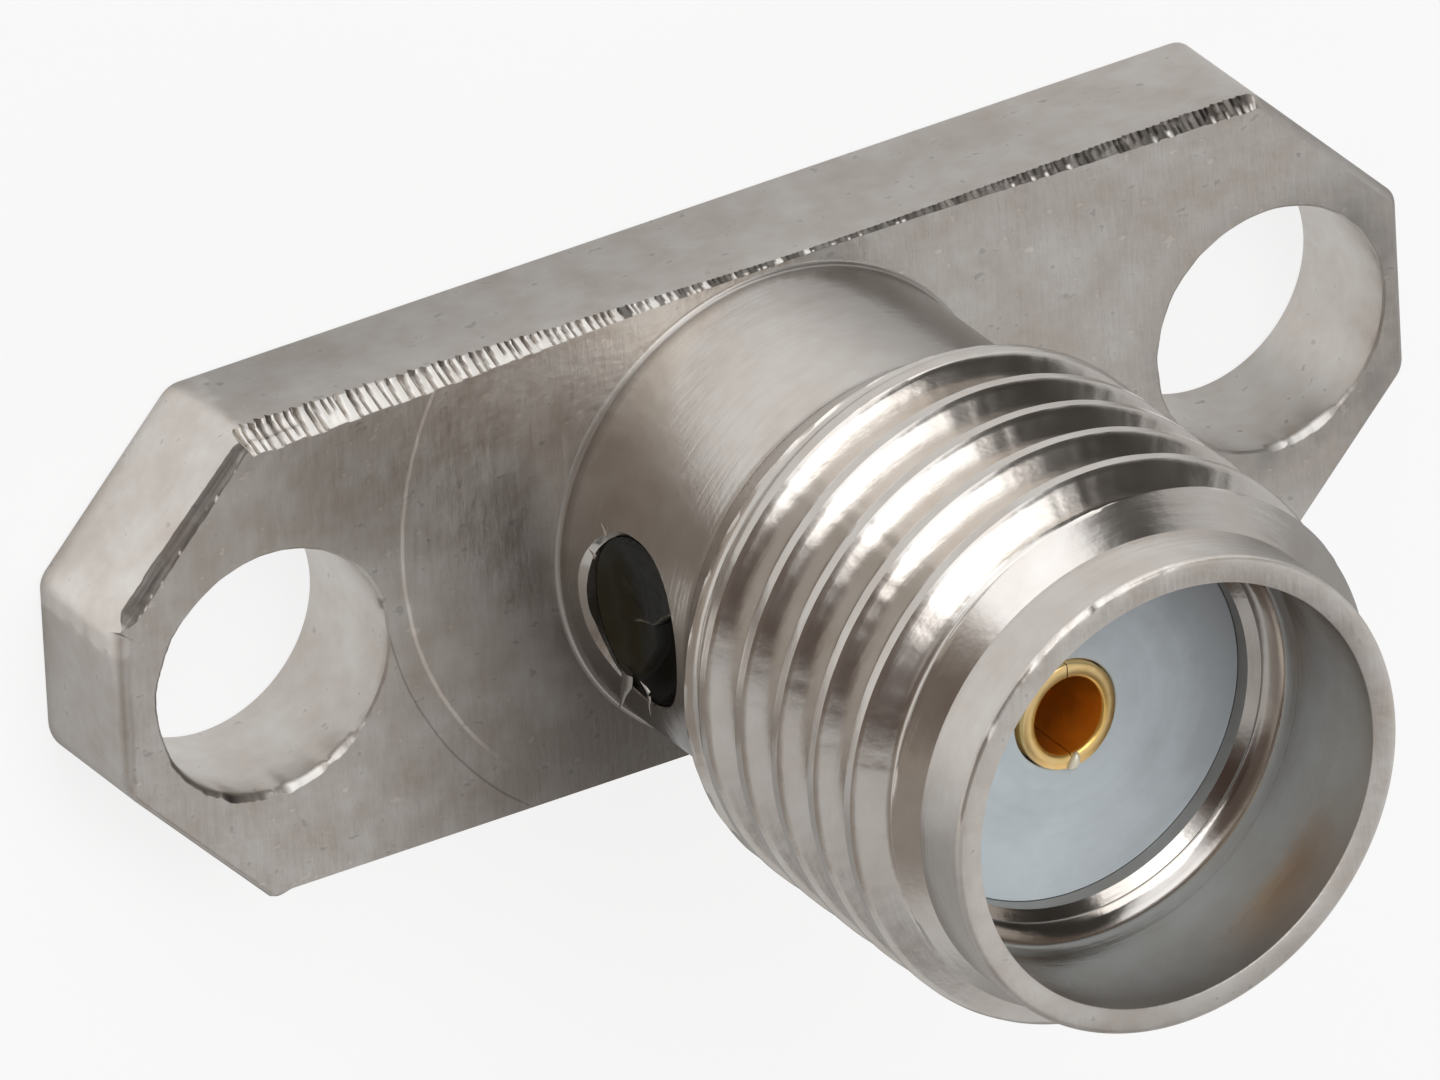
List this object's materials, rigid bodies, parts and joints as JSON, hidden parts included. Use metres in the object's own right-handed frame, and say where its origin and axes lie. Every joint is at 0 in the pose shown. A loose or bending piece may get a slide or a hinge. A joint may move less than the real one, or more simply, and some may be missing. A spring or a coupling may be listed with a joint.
{
  "type": "subminiature coaxial connector",
  "caption": "Flange-mount subminiature coaxial jack with an outer coupling thread, a stepped mouth, a white dielectric and a slotted socket contact.",
  "frame": {"origin": "on the connector's axis, in the plane of the flange's flat mounting face, midway between the screw holes", "axes": "+Z along the connector's axis from the mounting face to the mating end; +X along the flange's length; +Y across the flange; the side hole faces -X"},
  "size_m": [0.0158, 0.0062, 0.0094],
  "materials": {
    "nickel_metal": "satin nickel plate with turning marks",
    "fluoropolymer": "matte",
    "gold_contact": "polished gold plate",
    "dark_resin": "gloss"
  },
  "bodies": {
    "root": {"body": "nickel_metal", "dielectric_bead": "fluoropolymer", "centre_contact": "gold_contact", "captive_resin": "dark_resin"}
  },
  "joints": []
}
